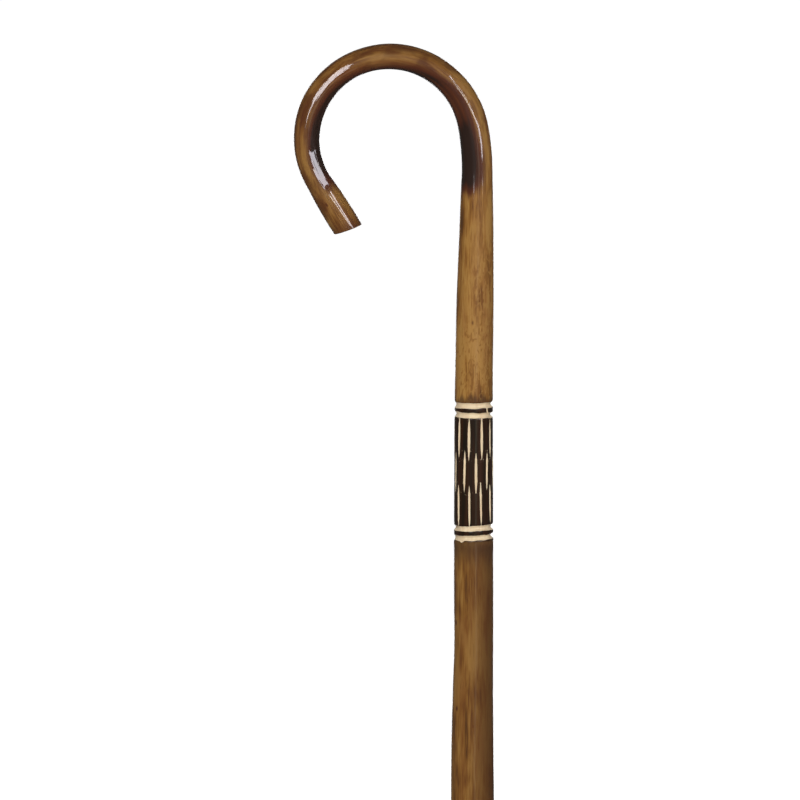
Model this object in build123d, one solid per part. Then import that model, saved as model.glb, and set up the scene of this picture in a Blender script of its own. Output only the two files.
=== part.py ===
from build123d import *

# A wooden crook-handled walking cane with a carved band and a rubber foot, in millimetres.
#
# The stick is one steam-bent length of hardwood. It rises from the foot along +Z, and its crook bends
# over towards -X in the XZ plane. A rubber ferrule is pushed on to its foot, with a steel washer under
# the end grain. The origin is the centre of the ferrule's tread, on the ground.

import os
from collections import namedtuple
from math import cos, degrees, radians, sin

Bend = namedtuple("Bend", "radius turn")  # of the centreline, and the degrees that it turns
Size = namedtuple("Size", "place diameter")
Station = namedtuple("Station", "drop diameter sway")  # drop below the cane's top, and the centre's X

# ---- Overall ----
CANE_HEIGHT = 914.0  # ground to the top of the crook: a 36 inch cane
SECTION_SPACING = 12.0  # between the sections that the stick is lofted through

# ---- Crook: a gentle shoulder, the round bend, then a straight tail ----
BENDS = [Bend(154.0, 11.0), Bend(55.5, 60.0), Bend(53.3, 140.5)]
SHOULDER_SWAY = 2.1  # the shoulder starts with its centre this far towards +X
CROWN_TURN = 90.0  # degrees turned at the crook's highest point
CROOK_SIZES = [  # by the degrees turned
    Size(0, 20.2),
    Size(11, 19.7),
    Size(29, 18.8),
    Size(47, 18.1),
    Size(71, 17.2),
    Size(CROWN_TURN, 16.9),
    Size(108, 16.4),
    Size(130, 16.8),
    Size(155, 17.3),
    Size(180, 16.9),
    Size(205, 16.8),
]
TAIL_LENGTH = 36.0  # of the centreline after the last bend
TAIL_SIZES = [Size(0, 16.9), Size(11, 18.4), Size(25, 19.1), Size(36, 18.9)]  # by the length after the bends
TAIL_CUT_SLANT = 11.4  # degrees off square, so that the sawn face looks more downwards
TAIL_RIM_ROUND = 0.6

# ---- Carved band: a pair of turned grooves above and below a field of cut flutes ----
BAND_DROP = 231.9  # top of the cane to the upper edge of the first groove
BAND_TOP_DIAMETER = 25.0
BAND_FOOT_DIAMETER = 25.8
GROOVE_WIDTH = 3.6
GROOVE_DEPTH = 1.4
RIDGE_WIDTH = 2.6  # between the two grooves of a pair
RIDGE_ROUND = 0.7
SHOULDER_ROUND = 1.6  # of the wood above and below each pair
FIELD_LENGTH = 69.9  # from the upper pair of grooves to the lower pair
BAND_MARGIN = 3.0  # plain wood of the turned length beyond its outer grooves
FLUTE_ROWS = 3
FLUTES_PER_ROW = 10
FLUTE_LENGTH = 27.0
FLUTE_DEPTH = 0.9
FLUTE_WIDTH = 2.0
FLUTE_WHEEL_EDGE = 2.7  # how far the V of the wheel that cuts the flutes goes up its sides
ROW_PITCH = 21.4
FLUTE_PHASE = 5.0  # degrees from the front (-Y) to the middle row's first flute

# ---- Shaft: hand-shaped, a little thicker low down, and never quite straight ----
UPPER_SHAFT = [
    Station(101, 21.4, 1.9),
    Station(134, 23.1, 1.4),
    Station(166, 24.3, 0.8),
    Station(199, 24.8, 0.3),
]
LOWER_SHAFT = [
    Station(355, 25.9, 0.0),
    Station(394, 25.7, 0.1),
    Station(420, 26.6, -0.3),
    Station(459, 27.9, -0.6),
    Station(500, 28.5, -0.6),
    Station(560, 28.2, -0.4),
]
SPIGOT_DIAMETER = 22.2  # the stick's foot, turned to suit a 7/8 inch ferrule
SPIGOT_SHOW = 4.0  # plain spigot left above the ferrule's rim
SPIGOT_CHAMFER = 1.0

# ---- Ferrule and washer ----
TREAD_THICKNESS = 12.0  # rubber under the washer
SOCKET_DEPTH = 36.0  # of wood above the washer
SOCKET_CLEARANCE = 0.05  # on the radius, all round the spigot
SLEEVE_WALL = 3.6
RIM_BEAD_HEIGHT = 3.0
RIB_HEIGHT = 2.0
RIB_PITCH = 4.2
RIB_COUNT = 2
RIB_STAND = 0.9  # the ribs and the rim's bead stand out this far
RIB_ROUND = 0.5
FOOT_DIAMETER = 39.0
FOOT_HEIGHT = 7.0  # of the foot's upright edge
FOOT_EDGE_ROUND = 1.2
FLARE_HEIGHT = 15.0  # over which the sleeve spreads into the foot
FLARE_HOLLOW = 1.4  # how far the flare bows inwards
TREAD_GROOVES = [8.0, 12.0, 16.0]  # radii of the tread's rings
TREAD_GROOVE_WIDTH = 1.8
TREAD_GROOVE_DEPTH = 1.5
WASHER_THICKNESS = 1.6
WASHER_LIP = 0.9  # the washer reaches this far under the socket's wall, which keeps it in
WASHER_CLEARANCE = 0.05
WASHER_HOLE_DIAMETER = 9.0

# ---- Places worked out from the sizes ----
BEND_LENGTH = sum(b.radius * radians(b.turn) for b in BENDS)

BAND_TOP_Z = CANE_HEIGHT - BAND_DROP
PAIR_LENGTH = 2 * GROOVE_WIDTH + RIDGE_WIDTH
FIELD_TOP_Z = BAND_TOP_Z - PAIR_LENGTH
FIELD_FOOT_Z = FIELD_TOP_Z - FIELD_LENGTH
BAND_FOOT_Z = FIELD_FOOT_Z - PAIR_LENGTH
TURNED_TOP_Z = BAND_TOP_Z + BAND_MARGIN
TURNED_FOOT_Z = BAND_FOOT_Z - BAND_MARGIN

SPIGOT_RADIUS = SPIGOT_DIAMETER / 2
SOCKET_RADIUS = SPIGOT_RADIUS + SOCKET_CLEARANCE
STICK_FOOT_Z = TREAD_THICKNESS + WASHER_THICKNESS
RIM_Z = STICK_FOOT_Z + SOCKET_DEPTH
SPIGOT_TOP_Z = RIM_Z + SPIGOT_SHOW
WASHER_RADIUS = SOCKET_RADIUS + WASHER_LIP
SLEEVE_RADIUS = SOCKET_RADIUS + SLEEVE_WALL

# ---- Smooth runs of sections ----
def smooth(points, at):
    """The value at a place on a smooth curve through (place, value) points, whose places rise.

    Each point's slope is that of the line between its neighbours, and a cubic joins the points.
    """
    n = max(i for i in range(len(points) - 1) if points[i][0] <= at or i == 0)
    slopes = []
    for i in (n, n + 1):
        (low, a), (high, b) = points[max(i - 1, 0)], points[min(i + 1, len(points) - 1)]
        slopes.append((b - a) / (high - low))
    (start, a), (end, b) = points[n], points[n + 1]
    width = end - start
    t = (at - start) / width
    rise = 3 * t**2 - 2 * t**3
    return a + (b - a) * rise + width * (slopes[0] * t * (1 - t) ** 2 - slopes[1] * (1 - t) * t**2)

def even_steps(low, high):
    """Evenly spaced values from low to high, about SECTION_SPACING apart: uneven lofts ripple."""
    count = max(2, round((high - low) / SECTION_SPACING))
    return [low + (high - low) * n / count for n in range(count + 1)]

def disc(plane, diameter):
    return (plane * Circle(diameter / 2)).faces()[0]

# ---- The stick ----
def follow_bends(distance):
    """How far +X, how far +Z and how many degrees the centreline goes in its first so many millimetres."""
    x, z, turned = 0, 0, 0
    for bend in BENDS:
        turn = min(bend.turn, degrees(distance / bend.radius))
        x += bend.radius * (cos(radians(turned + turn)) - cos(radians(turned)))
        z += bend.radius * (sin(radians(turned + turn)) - sin(radians(turned)))
        turned += turn
        distance -= bend.radius * radians(turn)
    return x - distance * sin(radians(turned)), z + distance * cos(radians(turned)), turned

def bend_distance(turn):
    """The length of the centreline over which it turns by so many degrees."""
    distance = 0
    for bend in BENDS:
        distance += bend.radius * radians(min(turn, bend.turn))
        turn = max(0, turn - bend.turn)
    return distance

CROWN_RISE = follow_bends(bend_distance(CROWN_TURN))[1] + smooth(CROOK_SIZES, CROWN_TURN) / 2
SHOULDER_Z = CANE_HEIGHT - CROWN_RISE
BEND_SIZES = [
    *[Size(bend_distance(size.place), size.diameter) for size in CROOK_SIZES],
    *[Size(BEND_LENGTH + size.place, size.diameter) for size in TAIL_SIZES],
]

def bend_plane(distance):
    """The section plane at a distance along the bend and its tail. Its X is +Y, so no section is twisted."""
    x, z, turned = follow_bends(distance)
    along = (-sin(radians(turned)), 0, cos(radians(turned)))
    return Plane(origin=(SHOULDER_SWAY + x, 0, SHOULDER_Z + z), x_dir=(0, 1, 0), z_dir=along)

def crook():
    """The bend and its tail, lofted past the end and sawn off at a slant."""
    tail_end = BEND_LENGTH + TAIL_LENGTH
    last = TAIL_SIZES[-1].diameter
    overlong = [*BEND_SIZES, Size(tail_end + last, last)]
    wood = loft([disc(bend_plane(d), smooth(overlong, d)) for d in even_steps(0, tail_end + last / 2)])
    cut = bend_plane(tail_end) * Rot(TAIL_CUT_SLANT, 0, 0)
    wood -= cut * Pos(0, 0, last) * Box(2 * last, 2 * last, 2 * last)
    sawn_face = wood.faces().sort_by_distance(cut.position)[0]
    return fillet(sawn_face.edges(), TAIL_RIM_ROUND)

def band_diameter(z):
    share = (z - BAND_FOOT_Z) / (BAND_TOP_Z - BAND_FOOT_Z)
    return BAND_FOOT_DIAMETER + (BAND_TOP_DIAMETER - BAND_FOOT_DIAMETER) * share

def shaft(foot_z, foot_size, top_z, top_size, stations):
    """A run of shaft between two heights, through the stations that lie between them.

    The stations are listed from the top down. Each size is a (diameter, sway) pair.
    """
    places = [(CANE_HEIGHT - s.drop, s.diameter, s.sway) for s in reversed(stations)]
    between = [place for place in places if foot_z < place[0] < top_z]
    points = [(foot_z, *foot_size), *between, (top_z, *top_size)]
    diameters = [(z, diameter) for z, diameter, _ in points]
    sways = [(z, sway) for z, _, sway in points]
    sections = []
    for z in even_steps(foot_z, top_z):
        plane = Plane(origin=(smooth(sways, z), 0, z), x_dir=(0, 1, 0), z_dir=(0, 0, 1))
        sections.append(disc(plane, smooth(diameters, z)))
    return loft(sections)

def flute_cutter(z, angle):
    """The V-edged wheel that cuts one flute, at height z and turned angle degrees from the front."""
    wheel_radius = FLUTE_LENGTH**2 / (8 * FLUTE_DEPTH)
    side = FLUTE_WHEEL_EDGE * (FLUTE_WIDTH / 2) / FLUTE_DEPTH
    section = Polyline(
        (0, wheel_radius),
        (side, wheel_radius - FLUTE_WHEEL_EDGE),
        (side, 0),
        (-side, 0),
        (-side, wheel_radius - FLUTE_WHEEL_EDGE),
        close=True,
    )
    wheel = revolve(make_face(section), axis=Axis.X)
    reach = band_diameter(z) / 2 - FLUTE_DEPTH + wheel_radius
    return Rot(0, 0, angle) * Pos(0, -reach, z) * wheel

def corners_at(profile, heights):
    """The corners nearest to the given heights on the band's surface."""
    surface = [v for v in profile.vertices() if v.X > 0]
    return [min(surface, key=lambda v: abs(v.Y - z)) for z in heights]

def carved_band():
    """The turned and carved length of the stick."""
    corners = [(0, TURNED_FOOT_Z), (0, TURNED_TOP_Z)]
    outline = [(band_diameter(z) / 2, z) for _, z in reversed(corners)]
    profile = make_face(Polyline(*corners, *outline, close=True))
    cut_radius = (GROOVE_WIDTH**2 / 4 + GROOVE_DEPTH**2) / (2 * GROOVE_DEPTH)
    for pair_top in (BAND_TOP_Z, FIELD_FOOT_Z):
        for drop in (GROOVE_WIDTH / 2, PAIR_LENGTH - GROOVE_WIDTH / 2):
            z = pair_top - drop
            profile -= Pos(band_diameter(z) / 2 - GROOVE_DEPTH + cut_radius, z) * Circle(cut_radius)
    shoulders = [BAND_TOP_Z, FIELD_TOP_Z, FIELD_FOOT_Z, BAND_FOOT_Z]
    ridge_tops = [pair_top - GROOVE_WIDTH for pair_top in (BAND_TOP_Z, FIELD_FOOT_Z)]
    ridges = [*ridge_tops, *[z - RIDGE_WIDTH for z in ridge_tops]]
    profile = fillet(corners_at(profile, shoulders), SHOULDER_ROUND)
    profile = fillet(corners_at(profile, ridges), RIDGE_ROUND)
    band = revolve(Plane.XZ * profile, axis=Axis.Z)

    pitch = 360 / FLUTES_PER_ROW
    middle_z = (FIELD_TOP_Z + FIELD_FOOT_Z) / 2
    for row in range(FLUTE_ROWS):
        from_middle = row - (FLUTE_ROWS - 1) / 2
        row_z = middle_z - from_middle * ROW_PITCH
        for n in range(FLUTES_PER_ROW):
            band -= flute_cutter(row_z, FLUTE_PHASE + pitch * (n + from_middle / 2))
    return band

def stick():
    """The whole bent stick, joined from the foot up."""
    band_foot = (band_diameter(TURNED_FOOT_Z), 0)
    band_top = (band_diameter(TURNED_TOP_Z), 0)
    shoulder = (CROOK_SIZES[0].diameter, SHOULDER_SWAY)
    spigot = Pos(0, 0, STICK_FOOT_Z) * extrude(Circle(SPIGOT_RADIUS), SPIGOT_TOP_Z - STICK_FOOT_Z)
    spigot = chamfer(spigot.edges().sort_by(Axis.Z)[0], SPIGOT_CHAMFER)
    lower = shaft(SPIGOT_TOP_Z, (SPIGOT_DIAMETER, 0), TURNED_FOOT_Z, band_foot, LOWER_SHAFT)
    upper = shaft(TURNED_TOP_Z, band_top, SHOULDER_Z, shoulder, UPPER_SHAFT)
    return spigot + lower + carved_band() + upper + crook()

# ---- The ferrule and its washer ----
def ferrule():
    foot_radius = FOOT_DIAMETER / 2
    flare_foot = (foot_radius, FOOT_HEIGHT)
    flare_top = (SLEEVE_RADIUS, FOOT_HEIGHT + FLARE_HEIGHT)
    sides = Polyline(flare_top, (SLEEVE_RADIUS, RIM_Z), (0, RIM_Z), (0, 0), (foot_radius, 0), flare_foot)
    flare = SagittaArc(flare_foot, flare_top, FLARE_HOLLOW)
    profile = make_face([*sides.edges(), *flare.edges()])
    profile += Pos(SLEEVE_RADIUS, RIM_Z - RIM_BEAD_HEIGHT / 2) * Rectangle(2 * RIB_STAND, RIM_BEAD_HEIGHT)
    for n in range(RIB_COUNT):
        rib_z = FOOT_HEIGHT + FLARE_HEIGHT + RIB_PITCH * (n + 1)
        profile += Pos(SLEEVE_RADIUS, rib_z) * Rectangle(2 * RIB_STAND, RIB_HEIGHT)
    profile = fillet(profile.vertices().group_by(Axis.X)[-1], FOOT_EDGE_ROUND)
    ribs_edge = SLEEVE_RADIUS + RIB_STAND
    profile = fillet([v for v in profile.vertices() if abs(v.X - ribs_edge) < RIB_ROUND / 2], RIB_ROUND)
    body = revolve(Plane.XZ * profile, axis=Axis.Z)
    body -= Pos(0, 0, TREAD_THICKNESS) * extrude(Circle(SOCKET_RADIUS), RIM_Z)
    seat_height = WASHER_THICKNESS + WASHER_CLEARANCE
    body -= Pos(0, 0, TREAD_THICKNESS) * extrude(Circle(WASHER_RADIUS + WASHER_CLEARANCE), seat_height)
    for radius in TREAD_GROOVES:
        ring = Circle(radius + TREAD_GROOVE_WIDTH / 2) - Circle(radius - TREAD_GROOVE_WIDTH / 2)
        body -= extrude(ring, TREAD_GROOVE_DEPTH)
    return body

def washer():
    plate = Circle(WASHER_RADIUS) - Circle(WASHER_HOLE_DIAMETER / 2)
    return Pos(0, 0, TREAD_THICKNESS) * extrude(plate, WASHER_THICKNESS)

os.makedirs("parts", exist_ok=True)
export_step(stick(), "parts/bent_wood_stick.step")
export_step(ferrule(), "parts/rubber_ferrule.step")
export_step(washer(), "parts/ferrule_washer.step")
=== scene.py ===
# The looks of a lacquered wooden crook cane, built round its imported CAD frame.
#
# The stick is one swept mesh in place of the CAD solid, with the same centreline and sizes, and with the
# uneven grooves, flutes and shaving marks of hand work. The rubber ferrule and its steel washer are the
# CAD's own pieces.
# The stick's sizes are in millimetres, and its mesh is scaled to metres. Everything else is in metres.

from collections import namedtuple
from math import cos, pi, radians, sin, tan

import bpy
import numpy as np
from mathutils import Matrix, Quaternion, Vector


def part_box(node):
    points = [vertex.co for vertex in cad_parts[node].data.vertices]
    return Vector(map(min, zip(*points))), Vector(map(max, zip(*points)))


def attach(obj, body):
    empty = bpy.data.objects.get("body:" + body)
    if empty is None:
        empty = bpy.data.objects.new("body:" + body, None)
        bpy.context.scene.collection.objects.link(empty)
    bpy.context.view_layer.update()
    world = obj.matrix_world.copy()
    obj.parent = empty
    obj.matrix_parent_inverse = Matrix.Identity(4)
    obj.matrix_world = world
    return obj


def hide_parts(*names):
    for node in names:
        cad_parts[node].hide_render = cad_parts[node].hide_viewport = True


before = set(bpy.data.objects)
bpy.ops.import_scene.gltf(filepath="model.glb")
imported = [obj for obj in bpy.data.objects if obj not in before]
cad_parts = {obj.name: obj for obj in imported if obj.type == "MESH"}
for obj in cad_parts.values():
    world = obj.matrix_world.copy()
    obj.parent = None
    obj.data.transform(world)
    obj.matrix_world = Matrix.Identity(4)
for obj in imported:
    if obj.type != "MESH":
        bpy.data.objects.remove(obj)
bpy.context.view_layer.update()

METRES = 0.001  # in a millimetre
stick_low, stick_high = [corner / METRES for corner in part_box("bent_wood_stick")]

Bend = namedtuple("Bend", "radius turn")  # of the centreline, and the degrees that it turns
Flat = namedtuple("Flat", "start end angle half_arc")  # travel from and to, then degrees round the stick
Groove = namedtuple("Groove", "pair_top side tilt")  # side 1 is the upper one of its pair, and -1 the lower
Stroke = namedtuple("Stroke", "angle height length lean half_width depth")  # of a gouge or a knife

# ---- The stick's centreline and thickness, as in CAD ----
CANE_HEIGHT = stick_high.z
STICK_FOOT = stick_low.z
BENDS = [Bend(154.0, 11.0), Bend(55.5, 60.0), Bend(53.3, 140.5)]
SHOULDER_SWAY = 2.1
CROWN_TURN = 90.0  # degrees turned at the crook's highest point
CROOK_SIZES = [  # degrees turned, diameter
    (0, 20.2), (11, 19.7), (29, 18.8), (47, 18.1), (71, 17.2), (CROWN_TURN, 16.9),
    (108, 16.4), (130, 16.8), (155, 17.3), (180, 16.9), (205, 16.8),
]
TAIL_LENGTH = 36.0
TAIL_SIZES = [(0, 16.9), (11, 18.4), (25, 19.1), (36, 18.9)]  # length after the bends, diameter
TAIL_CUT_SLANT = 11.4  # degrees off square
SLANT_RUN = 24.0  # over which the rows of the mesh lean over to the slanted cut
TAIL_RIM_ROUND = 0.6
UPPER_SHAFT = [  # drop below the cane's top, diameter, and the centre's X
    (101, 21.4, 1.9), (134, 23.1, 1.4), (166, 24.3, 0.8), (199, 24.8, 0.3),
]
LOWER_SHAFT = [
    (355, 25.9, 0.0), (394, 25.7, 0.1), (420, 26.6, -0.3),
    (459, 27.9, -0.6), (500, 28.5, -0.6), (560, 28.2, -0.4),
]
SPIGOT_DIAMETER = 22.2
SPIGOT_LENGTH = 40.0
SPIGOT_CHAMFER = 1.0

# ---- The carved band ----
BAND_DROP = 231.9  # top of the cane to the upper edge of the first groove
BAND_TOP = CANE_HEIGHT - BAND_DROP
BAND_TOP_DIAMETER = 25.0
BAND_FOOT_DIAMETER = 25.8
GROOVE_WIDTH = 3.6
GROOVE_DEPTH = 1.4
RIDGE_WIDTH = 2.6
PAIR_LENGTH = 2 * GROOVE_WIDTH + RIDGE_WIDTH
FIELD_LENGTH = 69.9
BAND_MARGIN = 3.0
FIELD_TOP = BAND_TOP - PAIR_LENGTH
FIELD_FOOT = FIELD_TOP - FIELD_LENGTH
BAND_FOOT = FIELD_FOOT - PAIR_LENGTH
TURNED_TOP = BAND_TOP + BAND_MARGIN
TURNED_FOOT = BAND_FOOT - BAND_MARGIN
GROOVES = [  # a tilt takes a groove this far up on the +X side, and as far down on the -X side
    Groove(BAND_TOP, 1, 0.0),
    Groove(BAND_TOP, -1, 0.0),
    Groove(FIELD_FOOT, 1, 0.2),
    Groove(FIELD_FOOT, -1, 0.8),
]
GROOVE_WANDER = 0.32  # up and down, as the groove goes round
GROOVE_WANDER_LOBES = 9
GROOVE_WIDTH_CHANGE = 0.13  # as a share of its width
GROOVE_WIDTH_LOBES = 14
GROOVE_DEPTH_CHANGE = 0.25
GROOVE_DEPTH_LOBES = 4
WANDER_FALL = 0.7  # the higher this power, the weaker the finer lobes
GROOVE_SIDE_DEPTH = 0.3  # deeper on the +X side and shallower on the -X side
SHOULDER_EASE = 1.2  # depth over which a groove's edge is eased into the plain wood
RIDGE_EASE = 0.5
FLUTE_ROWS = 3
FLUTES_PER_ROW = 10
FLUTE_LENGTH = 27.0
FLUTE_WIDTH = 1.75
FLUTE_DEPTH = 0.8
FLUTE_TAPER = 2.8  # the higher this power, the blunter a flute's ends
FLUTE_EASE = 0.12
ROW_PITCH = 21.4
FLUTE_PHASE = 5.0  # degrees from the front (-Y) to the middle row's first flute
FLUTE_ANGLE_SLIP = 2.4  # degrees that a flute may be off its place, either way
FLUTE_HEIGHT_SLIP = 1.0
FLUTE_LEAN = 0.02
FLUTE_LENGTHS = (0.97, 1.12)  # the least and most, as shares of the plain flute's
FLUTE_WIDTHS = (0.85, 1.1)
FLUTE_DEPTHS = (0.85, 1.15)
SLIPS = [  # stray strokes of the carver's knife
    Stroke(44.0, BAND_TOP - 5.0, 11.0, -0.14, 0.55, 0.7),
    Stroke(-38.0, BAND_FOOT + 0.1, 3.2, 0.1, 2.0, 0.7),
    Stroke(151.0, FIELD_FOOT - 5.0, 8.0, 0.2, 0.5, 0.6),
]
STROKE_REACH = 1.4  # half lengths from a stroke's middle, past which its signed depth stays the same
STROKE_POINT = 0.05  # the narrowest that a stroke gets, as a share of its width

# ---- The spokeshave's marks ----
SHAVE_DEPTH = 0.26
SHAVE_START = 40.0  # above the spigot, over which the marks begin
SHAVE_LESS_IN_BAND = 0.6  # the share of the depth that turning has taken away there
SHAVE_BAND_EASE = 12.0
SHAVE_WAVES = 26
SHAVE_MOST_LOBES = 11
SHAVE_WEAKEST = 0.3  # of the waves, before their lobes are counted
SHAVE_FALL = 0.6  # the higher this power, the weaker the waves of many lobes
SHAVE_PITCHES = (35, 240)
FLAT_FADE = 0.25  # of a flat's length, at each end
FLAT_RAGGED = 0.12
FLAT_CHATTER = [(9, 1.9), (5, -3.1)]  # lobes round the stick, and the travel in which each turns a radian

# ---- The mesh ----
COLUMNS = 256
SHAFT_ROW = 3.0  # the spacing of the rows
CROOK_ROW = 2.0
BAND_ROW = 0.34
RIM_ROWS = 5
CAP_RINGS = 12
HAND_SEED = 41

BEND_LENGTH = sum(bend.radius * radians(bend.turn) for bend in BENDS)
SPIGOT_TOP = STICK_FOOT + SPIGOT_LENGTH
CLEAR = -1.0  # the depth of a cut where there is none


def smooth(points, at):
    """The values at some places on a smooth curve through (place, value) points, whose places rise."""
    places, values = np.array(points, float).T
    last = len(places) - 1
    before = np.maximum(np.arange(last + 1) - 1, 0)
    after = np.minimum(np.arange(last + 1) + 1, last)
    slopes = (values[after] - values[before]) / (places[after] - places[before])
    n = np.clip(np.searchsorted(places, at, side="right") - 1, 0, last - 1)
    width = places[n + 1] - places[n]
    t = (at - places[n]) / width
    rise = 3 * t**2 - 2 * t**3
    pull = slopes[n] * t * (1 - t) ** 2 - slopes[n + 1] * (1 - t) * t**2
    return values[n] + (values[n + 1] - values[n]) * rise + width * pull


def follow_bends(distance):
    """How far +X, how far +Z and how many radians the centreline goes in its first so many millimetres."""
    x, z, turned = np.zeros_like(distance), np.zeros_like(distance), np.zeros_like(distance)
    left = distance.copy()
    for bend in BENDS:
        turn = np.minimum(radians(bend.turn), left / bend.radius)
        x += bend.radius * (np.cos(turned + turn) - np.cos(turned))
        z += bend.radius * (np.sin(turned + turn) - np.sin(turned))
        turned += turn
        left -= bend.radius * turn
    return x - left * np.sin(turned), z + left * np.cos(turned), turned


def bend_distance(turn):
    """The length of the centreline over which it turns by so many degrees."""
    distance = 0
    for bend in BENDS:
        distance += bend.radius * radians(min(turn, bend.turn))
        turn = max(0, turn - bend.turn)
    return distance


def crook_travel(turn):
    """The travel at a turn in degrees. It is the height up the shaft, and then goes on round the crook."""
    return SHOULDER + bend_distance(turn)


crown_rise = follow_bends(np.array([bend_distance(CROWN_TURN)]))[1][0]
SHOULDER = CANE_HEIGHT - crown_rise - dict(CROOK_SIZES)[CROWN_TURN] / 2
TAIL_START = SHOULDER + BEND_LENGTH
TAIL_END = TAIL_START + TAIL_LENGTH
FLATS = [  # shaved on the crook: travel from and to, degrees from the front (-Y), half the arc cut off
    Flat(crook_travel(19), crook_travel(43), 28.0, 12.0),
    Flat(crook_travel(122), crook_travel(151), 7.0, 10.5),
    Flat(crook_travel(189), TAIL_START + 3.0, -22.0, 18.0),
]

# ---- The scorched side of the crook ----
SCORCH_EDGES = [  # travel, and how far its edge is towards +X, from -1 to 1
    (SHOULDER - 24, 0.1),
    (SHOULDER - 4, 0.35),
    (crook_travel(6), 0.32),
    (crook_travel(15), 0.16),
    (crook_travel(40), 0.08),
    (crook_travel(58), -0.2),
    (crook_travel(80), -0.52),
    (crook_travel(110), -0.55),
    (crook_travel(145), -0.3),
    (crook_travel(180), -0.08),
    (crook_travel(205), -0.05),
    (TAIL_END, -0.2),
]
SCORCH_CHARS = [  # travel, and how black it gets at most
    (SHOULDER - 24, 0.5),
    (crook_travel(2), 1.0),
    (crook_travel(9), 0.9),
    (crook_travel(20), 0.3),
    (crook_travel(42), 0.32),
    (crook_travel(60), 0.6),
    (crook_travel(100), 0.6),
    (crook_travel(150), 0.5),
    (crook_travel(200), 0.6),
    (TAIL_END, 0.5),
]
SCORCH_FOOT = (SHOULDER - 25, SHOULDER - 1)  # it begins over this travel
SCORCH_TAIL = (TAIL_END - 12, TAIL_END - 46)  # it has gone at the first, and is in full before the second
SCORCH_SLOPE = 1.4
SCORCH_GONE = -0.7  # its value past its ends


def band_diameter(height):
    share = (height - BAND_FOOT) / (BAND_TOP - BAND_FOOT)
    return BAND_FOOT_DIAMETER + (BAND_TOP_DIAMETER - BAND_FOOT_DIAMETER) * share


def outline():
    """The lower and the upper shaft as (travel, diameter, X) points, and the crook as (travel, diameter)."""
    shoulder = (CANE_HEIGHT - SHOULDER, CROOK_SIZES[0][1], SHOULDER_SWAY)
    upper = [(CANE_HEIGHT - drop, *rest) for drop, *rest in reversed([shoulder, *UPPER_SHAFT])]
    lower = [(CANE_HEIGHT - drop, *rest) for drop, *rest in reversed(LOWER_SHAFT)]
    lower = [place for place in lower if place[0] < TURNED_FOOT]
    lower = [(SPIGOT_TOP, SPIGOT_DIAMETER, 0), *lower, (TURNED_FOOT, band_diameter(TURNED_FOOT), 0)]
    upper = [(TURNED_TOP, band_diameter(TURNED_TOP), 0), *upper]
    bends = [(crook_travel(turn), diameter) for turn, diameter in CROOK_SIZES]
    tail = [(TAIL_START + length, diameter) for length, diameter in TAIL_SIZES]
    return lower, upper, bends + tail


def plain_diameter(travel):
    lower, upper, crook = outline()
    lower_sizes = [(place, diameter) for place, diameter, _ in lower]
    upper_sizes = [(place, diameter) for place, diameter, _ in upper]
    runs = [
        (travel < SPIGOT_TOP, SPIGOT_DIAMETER),
        (travel < TURNED_FOOT, smooth(lower_sizes, travel)),
        (travel <= TURNED_TOP, band_diameter(travel)),
        (travel < SHOULDER, smooth(upper_sizes, travel)),
    ]
    return np.select([run for run, _ in runs], [size for _, size in runs], smooth(crook, travel))


def centreline(travel):
    """X, Z and the radians turned, at each travel."""
    lower, upper, _ = outline()
    sways = [(place, sway) for place, _, sway in [*lower, *upper]]
    x, z, turned = follow_bends(np.maximum(travel - SHOULDER, 0))
    x += np.where(travel < SHOULDER, smooth(sways, np.minimum(travel, SHOULDER)), SHOULDER_SWAY)
    return np.where(travel < SPIGOT_TOP, 0, x), np.minimum(travel, SHOULDER) + z, turned


def step(low, high, at):
    """0 on low's side, 1 on high's side, and smooth between. Low may be the larger."""
    t = np.clip((at - low) / (high - low), 0, 1)
    return t * t * (3 - 2 * t)


def wander(rng, around, lobes):
    """A random curve round the stick, between -1 and 1, that joins up with itself."""
    curve = np.zeros_like(around)
    for n in range(1, lobes + 1):
        curve += rng.normal() / n**WANDER_FALL * np.cos(n * around + rng.uniform(0, 2 * pi))
    return curve / np.abs(curve).max()


def unevenness(rng, around, travel):
    """From 0 to 1: the long, low hollows that a spokeshave leaves."""
    total = 0
    for n in range(SHAVE_WAVES):
        lobes = rng.integers(1, SHAVE_MOST_LOBES + 1)
        pitch = rng.uniform(*SHAVE_PITCHES)
        hand = rng.choice([-1, 1])
        wave = np.cos(lobes * around + 2 * pi * travel / pitch * hand + rng.uniform(0, 2 * pi))
        total = total + wave * rng.uniform(SHAVE_WEAKEST, 1) / lobes**SHAVE_FALL
    total -= total.min()
    return total / total.max()


def shave_flats(around, travel, radius):
    """The radius after the flats are shaved, each fading in and out along the crook."""
    chatter = 1
    for lobes, run in FLAT_CHATTER:
        chatter = chatter * np.cos(lobes * around + travel / run)
    for flat in FLATS:
        fade = (flat.end - flat.start) * FLAT_FADE
        share = step(flat.start - fade, flat.start, travel) * step(flat.end + fade, flat.end, travel)
        apart = (around - radians(flat.angle) + pi) % (2 * pi) - pi
        chord = cos(radians(flat.half_arc)) / np.cos(np.clip(apart, -1, 1) * (1 + FLAT_RAGGED * chatter))
        radius = radius * (1 - share * (1 - np.minimum(chord, 1)))
    return radius


def ease(depth, width):
    """The depth where it is above 0, eased into the surface over a depth of width on each side."""
    near = np.maximum(width - np.abs(depth), 0) / width
    return np.maximum(depth, 0) + near**2 * width / 4


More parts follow.
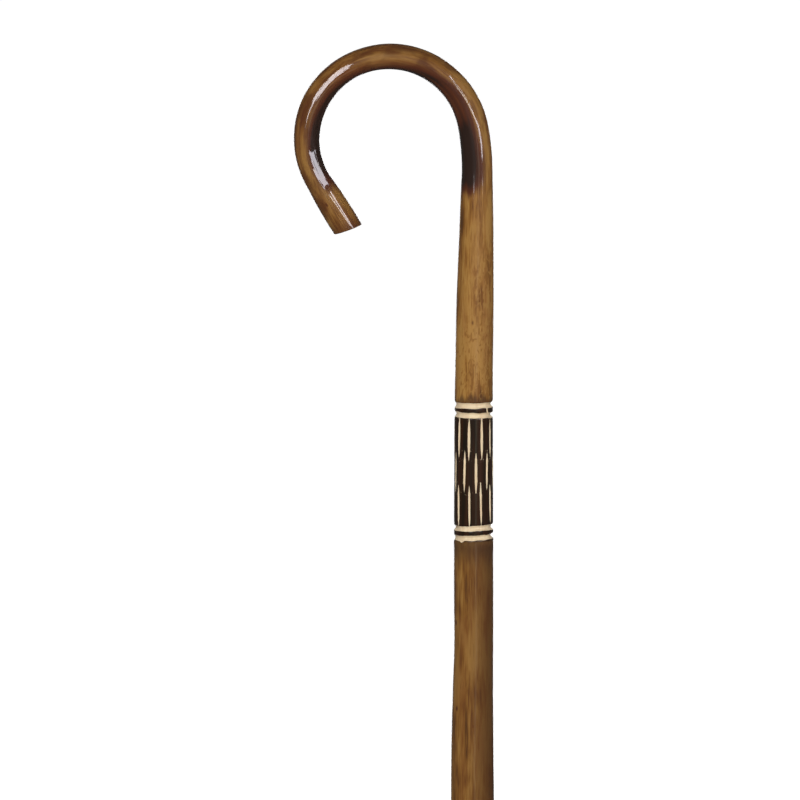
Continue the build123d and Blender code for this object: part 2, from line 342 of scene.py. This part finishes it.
def cut_grooves(rng, around, height):
    """The depth that the four grooves remove, and their signed depth, which is below 0 outside them."""
    removed, depth = 0, np.full(np.broadcast(around, height).shape, CLEAR)
    plus_x = np.sin(around)
    for groove in GROOVES:
        centre = groove.pair_top - PAIR_LENGTH / 2 + groove.side * (PAIR_LENGTH - GROOVE_WIDTH) / 2
        centre = centre + GROOVE_WANDER * wander(rng, around, GROOVE_WANDER_LOBES) + groove.tilt * plus_x
        half_width = GROOVE_WIDTH / 2 * (1 + GROOVE_WIDTH_CHANGE * wander(rng, around, GROOVE_WIDTH_LOBES))
        deepest = GROOVE_DEPTH + GROOVE_DEPTH_CHANGE * wander(rng, around, GROOVE_DEPTH_LOBES)
        deepest = deepest + GROOVE_SIDE_DEPTH * plus_x
        cut = deepest * (1 - ((height - centre) / half_width) ** 2)
        width = np.where((height - centre) * groove.side > 0, SHOULDER_EASE, RIDGE_EASE)
        removed = np.maximum(removed, ease(cut, width))
        depth = np.maximum(depth, cut)
    return removed, depth


def cut_stroke(around, height, stroke, radius):
    """The signed depth of one long, pointed stroke of a gouge."""
    reach = (height - stroke.height) / (stroke.length / 2)
    taper = 1 - np.minimum(np.abs(reach), STROKE_REACH) ** FLUTE_TAPER
    centre = radians(stroke.angle) * radius + stroke.lean * (height - stroke.height)
    across = (around * radius - centre + pi * radius) % (2 * pi * radius) - pi * radius
    half_width = stroke.half_width * np.maximum(taper, STROKE_POINT)
    inside = stroke.depth * taper * (1 - (across / half_width) ** 2)
    return np.where(taper > 0, inside, stroke.depth * taper)


def flutes(rng):
    """Three rows of flutes, each row turned by half a pitch from the one above, none quite like the next."""
    pitch = 360 / FLUTES_PER_ROW
    middle = (FIELD_TOP + FIELD_FOOT) / 2
    for row in range(FLUTE_ROWS):
        from_middle = row - (FLUTE_ROWS - 1) / 2
        for n in range(FLUTES_PER_ROW):
            angle = FLUTE_PHASE + pitch * (n + from_middle / 2)
            yield Stroke(
                angle=angle + rng.uniform(-FLUTE_ANGLE_SLIP, FLUTE_ANGLE_SLIP),
                height=middle - from_middle * ROW_PITCH + rng.uniform(-FLUTE_HEIGHT_SLIP, FLUTE_HEIGHT_SLIP),
                length=FLUTE_LENGTH * rng.uniform(*FLUTE_LENGTHS),
                lean=rng.uniform(-FLUTE_LEAN, FLUTE_LEAN),
                half_width=FLUTE_WIDTH / 2 * rng.uniform(*FLUTE_WIDTHS),
                depth=FLUTE_DEPTH * rng.uniform(*FLUTE_DEPTHS),
            )


def scorch(around, travel):
    """How deep into the scorched side of the crook each point lies: 0 at its edge, higher towards black."""
    edge, char = smooth(SCORCH_EDGES, travel), smooth(SCORCH_CHARS, travel)
    within = step(*SCORCH_FOOT, travel) * step(*SCORCH_TAIL, travel)
    inner = np.clip((edge - np.sin(around)) * SCORCH_SLOPE, -1, 1)
    return np.minimum(inner, char) * within + SCORCH_GONE * (1 - within)


def row_places():
    """The travel of each row of the mesh's sides, from the foot's chamfer to the tail's rim."""
    runs = [
        (STICK_FOOT + SPIGOT_CHAMFER, SPIGOT_TOP, SHAFT_ROW),
        (SPIGOT_TOP, TURNED_FOOT, SHAFT_ROW),
        (TURNED_FOOT, TURNED_TOP, BAND_ROW),
        (TURNED_TOP, SHOULDER, SHAFT_ROW),
        (SHOULDER, TAIL_END - TAIL_RIM_ROUND, CROOK_ROW),
    ]
    places = [np.linspace(low, high, round((high - low) / row), endpoint=False) for low, high, row in runs]
    return np.concatenate([*places, [TAIL_END - TAIL_RIM_ROUND]])


def place(around, travel, radius):
    """Where the points of the mesh are, with the rows leaning over to the slanted cut near the tail's end."""
    x, z, turned = centreline(travel)
    out = radius * np.sin(around)
    lean = -out * tan(radians(TAIL_CUT_SLANT)) * step(TAIL_END - SLANT_RUN, TAIL_END - TAIL_RIM_ROUND, travel)
    return np.stack(
        [
            x + out * np.cos(turned) - lean * np.sin(turned),
            -radius * np.cos(around),
            z + out * np.sin(turned) + lean * np.cos(turned),
        ],
        axis=-1,
    )


def stick_grid():
    """Rows of points from the foot's middle to the sawn end's middle, with what the material needs."""
    rng = np.random.default_rng(HAND_SEED)
    around = np.linspace(0, 2 * pi, COLUMNS, endpoint=False)[None, :]
    travel = row_places()[:, None]
    radius = plain_diameter(travel) / 2
    shaved = SHAVE_DEPTH * step(SPIGOT_TOP, SPIGOT_TOP + SHAVE_START, travel)
    turned = step(TURNED_FOOT - SHAVE_BAND_EASE, TURNED_FOOT, travel)
    turned = turned * step(TURNED_TOP + SHAVE_BAND_EASE, TURNED_TOP, travel)
    shaved = shaved * (1 - SHAVE_LESS_IN_BAND * turned)
    radius = radius - shaved * unevenness(rng, around, travel)
    radius = shave_flats(around, travel, radius)

    removed, depth = cut_grooves(rng, around, travel)
    for stroke in [*flutes(rng), *SLIPS]:
        cut = cut_stroke(around, travel, stroke, band_diameter(travel) / 2)
        removed = np.maximum(removed, ease(cut, FLUTE_EASE))
        depth = np.maximum(depth, cut)
    in_band = (travel > TURNED_FOOT) & (travel < TURNED_TOP)
    radius = radius - np.where(in_band, removed, 0)
    depth = np.where(in_band, depth, CLEAR)

    rows = [(travel, radius, depth, 0)]
    shrink = np.linspace(0, 1, CAP_RINGS)[:, None]
    foot = np.full_like(shrink, STICK_FOOT)
    foot_radius = (SPIGOT_DIAMETER / 2 - SPIGOT_CHAMFER) * shrink * np.ones_like(around)
    rows.insert(0, (foot, foot_radius, CLEAR, 1))
    turn = np.linspace(0, pi / 2, RIM_ROWS)[1:, None]
    rim_radius = radius[-1:] - TAIL_RIM_ROUND * (1 - np.cos(turn))
    rows.append((TAIL_END - TAIL_RIM_ROUND * (1 - np.sin(turn)), rim_radius, CLEAR, 0))
    rows.append((np.full_like(shrink, TAIL_END)[1:], rim_radius[-1:] * (1 - shrink[1:]), CLEAR, 1))

    shape = [(len(part[0]), COLUMNS) for part in rows]
    travel, radius, depth, end = [
        np.concatenate([np.broadcast_to(part[n], size) for part, size in zip(rows, shape)]) for n in range(4)
    ]
    around = np.broadcast_to(around, travel.shape)
    return around, travel, radius, depth, end


def add_attribute(mesh, name, kind, values):
    attribute = mesh.attributes.new(name, kind, "POINT")
    key = "vector" if kind == "FLOAT_VECTOR" else "value"
    attribute.data.foreach_set(key, np.asarray(values, np.float32).ravel())


def make_stick():
    """The visible stick, closed at both ends, with its grain straightened out in an attribute."""
    around, travel, radius, depth, end = stick_grid()
    rows = travel.shape[0]
    points = place(around, travel, radius).reshape(-1, 3)
    first, last = 0, rows - 1  # these rows are at the middles of the two ends
    index = np.arange(rows * COLUMNS).reshape(rows, COLUMNS)
    index[first], index[last] = index[first, 0], index[last, 0]
    right = np.roll(index, -1, axis=1)
    quads = np.stack([index[:-1], right[:-1], right[1:], index[1:]], axis=-1).reshape(-1, 4)
    used = np.unique(quads)
    renumber = np.zeros(len(points), int)
    renumber[used] = np.arange(len(used))
    faces = [list(dict.fromkeys(renumber[quad])) for quad in quads]

    mesh = bpy.data.meshes.new("stick_wood")
    mesh.from_pydata((points[used] * METRES).tolist(), [], faces)
    grain = np.stack([radius * np.cos(around), radius * np.sin(around), travel], axis=-1).reshape(-1, 3)
    add_attribute(mesh, "grain", "FLOAT_VECTOR", grain[used] * METRES)
    add_attribute(mesh, "cut", "FLOAT", depth.ravel()[used])
    add_attribute(mesh, "sawn", "FLOAT", end.ravel()[used])
    add_attribute(mesh, "scorch", "FLOAT", scorch(around, travel).ravel()[used])
    mesh.shade_smooth()
    mesh.validate()
    stick = bpy.data.objects.new("stick_wood", mesh)
    bpy.context.scene.collection.objects.link(stick)
    return stick


# ---- Materials ----
def srgb(red, green, blue):
    """A colour from its display values, 0 to 255, as the linear values that a shader takes."""
    linear = [((c / 255 + 0.055) / 1.055) ** 2.4 if c > 10 else c / 255 / 12.92 for c in (red, green, blue)]
    return (*linear, 1)


class Shader:
    """A material in the making. Apart from set and put, each method adds nodes and gives their output."""

    def __init__(self, name):
        self.material = bpy.data.materials.new(name)
        self.material.use_nodes = True
        self.tree = self.material.node_tree
        self.surface = self.tree.nodes["Principled BSDF"]

    def set(self, **inputs):
        """Sets the surface's inputs, which are named in lower case."""
        for name, value in inputs.items():
            self.put(self.surface.inputs[name.replace("_", " ").title().replace("Ior", "IOR")], value)

    def put(self, socket, value):
        if isinstance(value, bpy.types.NodeSocket):
            self.tree.links.new(value, socket)
        else:
            socket.default_value = value

    def add(self, kind, inputs, output=0, **settings):
        node = self.tree.nodes.new("ShaderNode" + kind)
        for name, value in settings.items():
            setattr(node, name, value)
        for socket, value in inputs.items():
            self.put(node.inputs[socket], value)
        return node.outputs[output]

    def attribute(self, name, output="Fac"):
        return self.add("Attribute", {}, output, attribute_name=name)

    def maths(self, operation, *values):
        return self.add("Math", dict(enumerate(values)), operation=operation)

    def plus(self, *values):
        total = values[0]
        for value in values[1:]:
            total = self.maths("ADD", total, value)
        return total

    def times(self, a, b):
        return self.maths("MULTIPLY", a, b)

    def step(self, value, low, high, bottom=0.0, top=1.0):
        inputs = {0: value, 1: low, 2: high, 3: bottom, 4: top}
        return self.add("MapRange", inputs, interpolation_type="SMOOTHSTEP")

    def over(self, height, zone):
        """From 0 to 1 over a zone, whose first and last travel are in millimetres."""
        start, end = zone
        return self.step(height, start * METRES, end * METRES)

    def noise(self, vector, scale=1.0, detail=2.0, roughness=0.5, warp=0.0):
        inputs = {"Vector": vector, "Scale": scale, "Detail": detail}
        inputs |= {"Roughness": roughness, "Distortion": warp}
        return self.add("TexNoise", inputs)

    def stretch(self, vector, across, along, tilt=0.0):
        inputs = {"Vector": vector, "Scale": (across, across, along), "Rotation": (tilt, tilt, 0)}
        return self.add("Mapping", inputs)

    def pattern(self, vector, pattern):
        """Noise of a pattern's size across and along the grain."""
        stretched = self.stretch(vector, pattern.across, pattern.along, pattern.tilt)
        return self.noise(stretched, 1.0, pattern.detail, pattern.roughness, pattern.warp)

    def mark(self, vector, mark):
        """From 0 to the mark's amount, as its pattern's noise goes from low to high."""
        return self.step(self.pattern(vector, mark.pattern), mark.low, mark.high, top=mark.amount)

    def fray(self, value, noise, reach):
        """A value moved up and down by noise, whose middle is 0.5."""
        return self.plus(value, self.times(self.plus(noise, -0.5), reach))

    def mix(self, factor, a, b):
        return self.add("Mix", {0: factor, 6: a, 7: b}, 2, data_type="RGBA")

    def ramp(self, value, *stops):
        node = self.add("ValToRGB", {0: value}).node
        elements = node.color_ramp.elements
        for _ in stops[2:]:
            elements.new(0.5)
        for element, (position, colour) in zip(elements, stops):
            element.position, element.color = position, colour
        return node.outputs[0]

    def bump(self, height, distance, normal=None):
        inputs = {"Height": height, "Distance": distance, "Strength": 1.0}
        if normal is not None:
            inputs["Normal"] = normal
        return self.add("Bump", inputs)


GOLD = srgb(168, 124, 64)
TAN = srgb(148, 103, 48)
BROWN = srgb(126, 82, 36)
RED_BROWN = srgb(122, 70, 38)
DARK_BROWN = srgb(84, 54, 28)
LOWER_BROWN = srgb(94, 62, 30)  # over the shaft below the band
LOWER_PAINTED_SHADE = srgb(74, 42, 21)  # painted shade on that shaft's +X side
CROOK_BROWN = srgb(82, 44, 24)
SCORCH_RED = srgb(82, 43, 26)
SCORCH_BLACK = srgb(44, 30, 24)
SMOKE = srgb(72, 48, 31)
FIELD_BLACK = srgb(27, 20, 12)
FIELD_RED = srgb(58, 32, 16)
BARE_CREAM = srgb(248, 234, 200)
BARE_PINK = srgb(220, 186, 148)
END_LIGHT = srgb(150, 112, 70)
END_DARK = srgb(84, 58, 34)
RUBBER_BLACK = srgb(30, 30, 31)
RUBBER_GREY = srgb(46, 45, 44)
SCUFF_GREY = srgb(112, 106, 98)
ZINC_DULL = srgb(168, 170, 172)
ZINC_BRIGHT = srgb(204, 205, 202)

# ---- Patterns in the wood, as the noise's scale per metre across and along the grain ----
Pattern = namedtuple("Pattern", "across along detail roughness warp tilt", defaults=(2.0, 0.5, 0.0, 0.0))
Mark = namedtuple("Mark", "pattern low high amount", defaults=(1.0,))  # its noise where it starts and is full

TONE_PARTS = [  # pattern, share of the tone
    (Pattern(75, 24), 0.7),  # broad stains
    (Pattern(330, 36, detail=3.0, roughness=0.6, warp=0.5), 0.42),  # streaks
    (Pattern(1300, 60, roughness=0.6), 0.33),  # fine lines
]
TONE_DARKEST, TONE_LIGHTEST = 0.52, 0.9
TONE_COLOURS = [(0.0, DARK_BROWN), (0.22, BROWN), (0.52, TAN), (0.85, GOLD)]
RED_STAIN = Mark(Pattern(170, 19, detail=3.0, warp=0.6), 0.5, 0.68)
RED_AMOUNT, RED_MORE_ON_CROOK = 0.35, 0.4
CURL = Pattern(420, 170, warp=1.2, tilt=0.5)  # the small, wavy figure
CURL_LIGHT, CURL_LIGHT_AMOUNT = (0.52, 0.64), 0.6
CURL_DARK, CURL_DARK_AMOUNT = (0.47, 0.36), 0.65
CURLED_PLACES = Pattern(30, 14, detail=1.0)
CURLED_LOW, CURLED_HIGH, CURLED_MORE_OVER_BAND = 0.46, 0.64, 0.12
CROOK_STAIN = 0.32
CROOK_PATCHES = Mark(Pattern(95, 40, detail=3.0, roughness=0.6, warp=0.4), 0.44, 0.62, 0.46)
CROOK_STREAKS = Mark(Pattern(520, 26, warp=0.8), 0.56, 0.7, 0.4)
PORES = Mark(Pattern(2300, 90, detail=1.0), 0.62, 0.72, 0.4)
KNOTS_ACROSS, KNOTS_ALONG = 60, 34
KNOT_EDGE, KNOT_CORE = 0.09, 0.03
GROWTH_RINGS = 190.0  # seen where the wood is sawn
SMOKE_STREAKS = Pattern(260, 16, detail=3.0, roughness=0.6)
FIELD_STREAKS = Pattern(380, 14)
BARE_STREAKS = Pattern(500, 60, detail=3.0)
CUT_EDGES = Pattern(900, 500)
FIBRE = Pattern(700, 24, detail=4.0, roughness=0.6, warp=0.3)
FIBRE_HEIGHT = 0.00003
RIPPLES = Pattern(160, 60, detail=1.0)
RIPPLE_HEIGHT = 0.0001

# ---- How strong the stains and the painted shade are, and how far their edges fray ----
LOWER_AMOUNT = 0.24
PAINTED_SHADE_AMOUNT = 0.72
TIP_AMOUNT = 0.6
SOOT_AMOUNT = 0.75
SOOT_FRAY = 0.016  # metres
SCORCH_FRAY = 1.1
SCORCH_REDDENS = (-0.45, 0.2)
SCORCH_BLACKENS = (0.1, 0.7)
BARE_FRAY = 0.45
BARE_FROM, BARE_FULL = 0.02, 0.16  # depth of a cut, in millimetres
LACQUER_ROUGHNESS = 0.34
FIBRE_ROUGHNESS = 0.12
BARE_ROUGHNESS = 0.25

# ---- Where the wood's look changes: travel where it starts to, and where it has ----
CROOK_ZONE = (SHOULDER - 30, crook_travel(50))
LOWER_ZONE = (BAND_FOOT, BAND_FOOT - 6)
OVER_BAND_ZONE = (BAND_TOP + 70, BAND_TOP + 40)
TIP_ZONE = (TAIL_END - 10, TAIL_END - 1)
SOOT_FROM_BELOW = (BAND_FOOT - 22, BAND_FOOT - 3)
SOOT_FROM_ABOVE = (BAND_TOP + 6, BAND_TOP + 1)
FIELD_FROM_ABOVE = (BAND_TOP - 0.6, BAND_TOP - 1.4)
FIELD_FROM_BELOW = (BAND_FOOT - 1.4, BAND_FOOT + 0.4)
PAINTED_SHADE_SIDE = (-8, 11)  # the same for the painted shade, across the shaft towards +X


def wood_colour(s, grain):
    """Golden brown wood: broad stains, streaks along the grain, a curly figure, pores and pin knots, with
    painted shade on the lower shaft's +X side.
    """
    height = s.add("SeparateXYZ", {0: grain}, "Z")
    plus_x = s.add("SeparateXYZ", {0: grain}, "Y")
    crook = s.over(height, CROOK_ZONE)
    lower = s.over(height, LOWER_ZONE)

    tone = s.plus(*[s.times(s.pattern(grain, pattern), share) for pattern, share in TONE_PARTS])
    colour = s.ramp(s.step(tone, TONE_DARKEST, TONE_LIGHTEST), *TONE_COLOURS)
    red_amount = s.plus(RED_AMOUNT, s.times(crook, RED_MORE_ON_CROOK))
    colour = s.mix(s.times(s.mark(grain, RED_STAIN), red_amount), colour, RED_BROWN)

    curl = s.pattern(grain, CURL)
    over_band = s.times(s.over(height, OVER_BAND_ZONE), s.maths("SUBTRACT", 1.0, lower))
    curled = s.plus(s.pattern(grain, CURLED_PLACES), s.times(over_band, CURLED_MORE_OVER_BAND))
    curled = s.step(curled, CURLED_LOW, CURLED_HIGH)
    colour = s.mix(s.times(s.step(curl, *CURL_LIGHT), s.times(curled, CURL_LIGHT_AMOUNT)), colour, GOLD)
    colour = s.mix(s.times(s.step(curl, *CURL_DARK), s.times(curled, CURL_DARK_AMOUNT)), colour, BROWN)

    colour = s.mix(s.times(lower, LOWER_AMOUNT), colour, LOWER_BROWN)
    # Painted shade: the lower shaft gets darker towards its +X side, as if less light fell there.
    shade = s.times(s.over(plus_x, PAINTED_SHADE_SIDE), PAINTED_SHADE_AMOUNT)
    colour = s.mix(s.times(lower, shade), colour, LOWER_PAINTED_SHADE)
    crook_amount = s.plus(CROOK_STAIN, s.mark(grain, CROOK_PATCHES))
    colour = s.mix(s.times(crook, crook_amount), colour, CROOK_BROWN)
    colour = s.mix(s.times(crook, s.mark(grain, CROOK_STREAKS)), colour, SCORCH_RED)

    colour = s.mix(s.mark(grain, PORES), colour, DARK_BROWN)
    knots = s.add("TexVoronoi", {"Vector": s.stretch(grain, KNOTS_ACROSS, KNOTS_ALONG), "Scale": 1.0})
    colour = s.mix(s.step(knots, KNOT_EDGE, KNOT_CORE), colour, SCORCH_RED)
    return s.mix(s.times(s.over(height, TIP_ZONE), TIP_AMOUNT), colour, SCORCH_RED)


def wood_material():
    """Stained and scorched wood under clear lacquer, with bare wood in the cuts and end grain at the ends."""
    s = Shader("lacquered_wood")
    grain = s.attribute("grain", "Vector")
    height = s.add("SeparateXYZ", {0: grain}, "Z")
    colour = wood_colour(s, grain)

    smoke = s.pattern(grain, SMOKE_STREAKS)
    burnt = s.fray(s.attribute("scorch"), smoke, SCORCH_FRAY)
    colour = s.mix(s.step(burnt, *SCORCH_REDDENS), colour, SCORCH_RED)
    colour = s.mix(s.step(burnt, *SCORCH_BLACKENS), colour, SCORCH_BLACK)
    soot = s.fray(height, smoke, SOOT_FRAY)
    soot = s.times(s.over(soot, SOOT_FROM_BELOW), s.over(soot, SOOT_FROM_ABOVE))
    colour = s.mix(s.times(soot, SOOT_AMOUNT), colour, SMOKE)

    stain = s.ramp(s.pattern(grain, FIELD_STREAKS), (0.35, FIELD_BLACK), (0.75, FIELD_RED))
    field = s.times(s.over(height, FIELD_FROM_ABOVE), s.over(height, FIELD_FROM_BELOW))
    colour = s.mix(field, colour, stain)
    bare = s.mix(s.pattern(grain, BARE_STREAKS), BARE_CREAM, BARE_PINK)
    cut = s.fray(s.attribute("cut"), s.pattern(grain, CUT_EDGES), BARE_FRAY)
    cut = s.step(cut, BARE_FROM, BARE_FULL)
    colour = s.mix(cut, colour, bare)

    ring_inputs = {"Vector": grain, "Scale": GROWTH_RINGS, "Distortion": 3.0, "Detail": 2.0}
    rings = s.add("TexWave", ring_inputs, bands_direction="Y")
    sawn = s.attribute("sawn")
    colour = s.mix(sawn, colour, s.mix(rings, END_LIGHT, END_DARK))

    fibre = s.pattern(grain, FIBRE)
    lacquer = s.bump(s.pattern(grain, RIPPLES), RIPPLE_HEIGHT, normal=s.bump(fibre, FIBRE_HEIGHT))
    bare_places = s.plus(cut, sawn)
    rough = s.plus(LACQUER_ROUGHNESS, s.times(fibre, FIBRE_ROUGHNESS), s.times(bare_places, BARE_ROUGHNESS))
    s.set(base_color=colour, roughness=rough, normal=lacquer, coat_normal=lacquer)
    s.set(specular_ior_level=0.12, coat_weight=1.0, coat_roughness=0.06, coat_ior=1.5)
    return s.material


# ---- Patterns in the rubber and the plating, as the noise's scale per metre ----
RUBBER_CLOUD = 90.0
RUBBER_GRIT = 1500.0
GRIT_HEIGHT = 0.00006
SCRATCHES_ACROSS, SCRATCHES_ALONG = 260, 1600
SCRATCH_HEIGHT = 0.00005
SCUFF_HEIGHT = 0.009  # of the ferrule's foot, up to which the ground has scuffed it
SCUFF_PATCHES = 320.0
SCUFF_LOW, SCUFF_HIGH, SCUFF_AMOUNT = 0.42, 0.62, 0.75
RUBBER_ROUGHNESS, CLOUD_ROUGHNESS, SCUFF_ROUGHNESS = 0.48, 0.2, 0.15
ZINC_SPANGLE = 260.0
ZINC_ROUGHNESS, SPANGLE_ROUGHNESS = 0.26, 0.14
TURNING_RINGS = 700.0
TURNING_HEIGHT = 0.00002


def rubber_material():
    """Black rubber, a little bloomed, scuffed grey where it meets the ground."""
    s = Shader("worn_rubber")
    place = s.add("TexCoord", {}, "Object")
    height = s.add("SeparateXYZ", {0: place}, "Z")
    cloud = s.noise(place, RUBBER_CLOUD, detail=4)
    grit = s.noise(place, RUBBER_GRIT, detail=3)
    colour = s.ramp(cloud, (0.3, RUBBER_BLACK), (0.7, RUBBER_GREY))
    worn = s.step(s.noise(place, SCUFF_PATCHES, detail=4), SCUFF_LOW, SCUFF_HIGH)
    scuff = s.times(s.step(height, SCUFF_HEIGHT, 0.0), worn)
    colour = s.mix(s.times(scuff, SCUFF_AMOUNT), colour, SCUFF_GREY)
    cloudy, scuffed = s.times(cloud, CLOUD_ROUGHNESS), s.times(scuff, SCUFF_ROUGHNESS)
    rough = s.plus(RUBBER_ROUGHNESS, cloudy, scuffed)
    scratches = s.noise(s.stretch(place, SCRATCHES_ACROSS, SCRATCHES_ALONG), detail=2)
    normal = s.bump(grit, GRIT_HEIGHT, normal=s.bump(scratches, SCRATCH_HEIGHT))
    s.set(base_color=colour, roughness=rough, normal=normal)
    return s.material


def steel_material():
    """Zinc-plated steel with the fine rings of turning."""
    s = Shader("zinc_plate")
    place = s.add("TexCoord", {}, "Object")
    spangle = s.noise(place, ZINC_SPANGLE, detail=3)
    ring_inputs = {"Vector": place, "Scale": TURNING_RINGS, "Distortion": 1.0}
    rings = s.add("TexWave", ring_inputs, wave_type="RINGS", rings_direction="Z")
    colour = s.ramp(spangle, (0.3, ZINC_DULL), (0.7, ZINC_BRIGHT))
    rough = s.plus(ZINC_ROUGHNESS, s.times(spangle, SPANGLE_ROUGHNESS))
    s.set(base_color=colour, roughness=rough, metallic=1.0, normal=s.bump(rings, TURNING_HEIGHT))
    return s.material


def finish_node(name, material):
    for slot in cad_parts[name].material_slots:
        slot.material = material


# ---- Studio ----
def facing(location, target):
    return (Vector(target) - Vector(location)).to_track_quat("-Z", "Y")


def from_object(aim, azimuth, elevation, distance):
    """A place seen from the aim at an azimuth to the right of the camera's side and an elevation."""
    a, e = radians(azimuth), radians(elevation)
    return Vector(aim) + distance * Vector((sin(a) * cos(e), -cos(a) * cos(e), sin(e)))


def add_light(name, light, aim, size, glossy=True, diffuse=True):
    """A soft box whose face shines evenly towards what it aims at."""
    width, height = size
    data = bpy.data.lights.new(name, "AREA")
    data.shape = "RECTANGLE"
    data.size, data.size_y = width, height
    data.energy = light.radiance * pi * width * height
    data.color = light.colour
    box = bpy.data.objects.new(name, data)
    box.location = from_object(aim, light.azimuth, light.elevation, light.distance)
    box.rotation_mode = "QUATERNION"
    box.rotation_quaternion = facing(box.location, aim) @ Quaternion((0, 0, 1), radians(light.roll))
    box.visible_camera = False
    box.visible_glossy = glossy
    box.visible_diffuse = diffuse
    bpy.context.scene.collection.objects.link(box)


# The roll is in degrees about the light's axis.
Light = namedtuple("Light", "azimuth elevation distance radiance roll colour", defaults=(0, (1, 1, 1)))

CROOK_MIDDLE = (-0.054, 0, 0.855)
SHAFT_MIDDLE = (0, 0, 0.55)
BROAD_LIGHTS = [  # the light, and its width and height
    (Light(6, 12, 2.4, 7.4), 1.5),
    (Light(-75, 10, 2.6, 3.4), 1.4),
    (Light(80, 10, 2.6, 1.6), 1.4),
    (Light(168, 25, 2.6, 4.2), 1.6),
    (Light(-162, 25, 2.6, 4.2), 1.6),
]
HIGHLIGHT_BOXES = [  # the light, what it aims at, its width and its height
    (Light(-17, 6.1, 1.5, 14, 41, (1, 0.94, 0.96)), CROOK_MIDDLE, 0.51, 0.2),
    (Light(24.5, 9.3, 1.5, 12, -10, (1, 0.93, 0.86)), CROOK_MIDDLE, 0.55, 0.12),
    (Light(38.5, 12, 1.5, 12, 30, (0.95, 0.92, 1)), CROOK_MIDDLE, 0.25, 0.82),
    (Light(13, -7.5, 1.5, 0.9, 0, (1, 0.85, 0.6)), SHAFT_MIDDLE, 0.16, 0.9),
    (Light(168, 0, 1.8, 6), SHAFT_MIDDLE, 0.12, 1.6),
    (Light(-162, 0, 1.8, 6), SHAFT_MIDDLE, 0.06, 1.6),
]
SKY_IN_REFLECTIONS = 0.06


def light_studio():
    """Broad lights that reflections don't show, and narrow soft boxes that only reflections show."""
    for n, (light, size) in enumerate(BROAD_LIGHTS):
        add_light(f"broad_{n}", light, SHAFT_MIDDLE, (size, size), glossy=False)
    for n, (light, aim, *size) in enumerate(HIGHLIGHT_BOXES):
        add_light(f"box_{n}", light, aim, size, diffuse=False)


def light_world():
    """White behind everything, and dim grey in reflections and on matt surfaces."""
    world = bpy.data.worlds.new("studio")
    world.use_nodes = True
    bpy.context.scene.world = world
    tree = world.node_tree
    background = tree.nodes["Background"]
    rays = tree.nodes.new("ShaderNodeLightPath")
    tone = tree.nodes.new("ShaderNodeMapRange")
    tone.inputs["To Min"].default_value = SKY_IN_REFLECTIONS
    tone.inputs["To Max"].default_value = 1.0
    tree.links.new(rays.outputs["Is Camera Ray"], tone.inputs["Value"])
    tree.links.new(tone.outputs[0], background.inputs["Strength"])
    background.inputs["Color"].default_value = (1, 1, 1, 1)


FLOOR_SIZE = 120.0
FLOOR_GREY = (0.62, 0.62, 0.62, 1)
FLOOR_DIM_GLOW_START = 0.1  # how far from the cane the floor's painted glow begins to rise
FLOOR_DIM_GLOW_REACH = 1.4  # how far from the cane the painted glow stays dimmed, which darkens the floor round the cane and lets its real shadow show
# the painted glow's strength near the cane and far from it
FLOOR_PAINTED_GLOW_NEAR, FLOOR_PAINTED_GLOW_FAR = 0.5, 1.0


def floor_material():
    """Pale paper with a painted glow, dimmer round the cane, which darkens the floor there and lets the
    cane's real shadow show.
    """
    s = Shader("pale_floor")
    place = s.add("TexCoord", {}, "Object")
    reach = s.add("VectorMath", {0: place}, "Value", operation="LENGTH")
    # Painted glow: the floor shines by itself, least near the cane.
    glow = s.step(reach, FLOOR_DIM_GLOW_START, FLOOR_DIM_GLOW_REACH, FLOOR_PAINTED_GLOW_NEAR, FLOOR_PAINTED_GLOW_FAR)
    s.set(base_color=FLOOR_GREY, roughness=0.9, specular_ior_level=0.0)
    s.set(emission_color=(1, 1, 1, 1), emission_strength=glow)
    return s.material


def make_floor():
    half = FLOOR_SIZE / 2
    corners = [(-half, -half, 0), (half, -half, 0), (half, half, 0), (-half, half, 0)]
    mesh = bpy.data.meshes.new("floor")
    mesh.from_pydata(corners, [], [(0, 1, 2, 3)])
    mesh.materials.append(floor_material())
    floor = bpy.data.objects.new("floor", mesh)
    floor.visible_glossy = False
    floor.visible_diffuse = False
    bpy.context.scene.collection.objects.link(floor)


# ---- Camera ----
CAMERA_ELEVATION = 6.5
CAMERA_DISTANCE = 6.0
CAMERA_AIM = (-0.0477, 0, 0.6829)
FRAME_WIDTH = 0.5172  # of the picture, at the cane
SENSOR_WIDTH = 36.0


def make_camera():
    data = bpy.data.cameras.new("camera")
    data.sensor_width = SENSOR_WIDTH
    data.lens = SENSOR_WIDTH * CAMERA_DISTANCE / FRAME_WIDTH
    data.clip_end = FLOOR_SIZE
    camera = bpy.data.objects.new("camera", data)
    camera.location = from_object(CAMERA_AIM, 0, CAMERA_ELEVATION, CAMERA_DISTANCE)
    camera.rotation_euler = (radians(90 - CAMERA_ELEVATION), 0, 0)
    bpy.context.scene.collection.objects.link(camera)
    bpy.context.scene.camera = camera


stick = make_stick()
stick.data.materials.append(wood_material())
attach(stick, "stick")
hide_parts("bent_wood_stick")
finish_node("rubber_ferrule", rubber_material())
finish_node("ferrule_washer", steel_material())

make_camera()
light_studio()
light_world()
make_floor()
bpy.context.scene.view_settings.view_transform = "Standard"
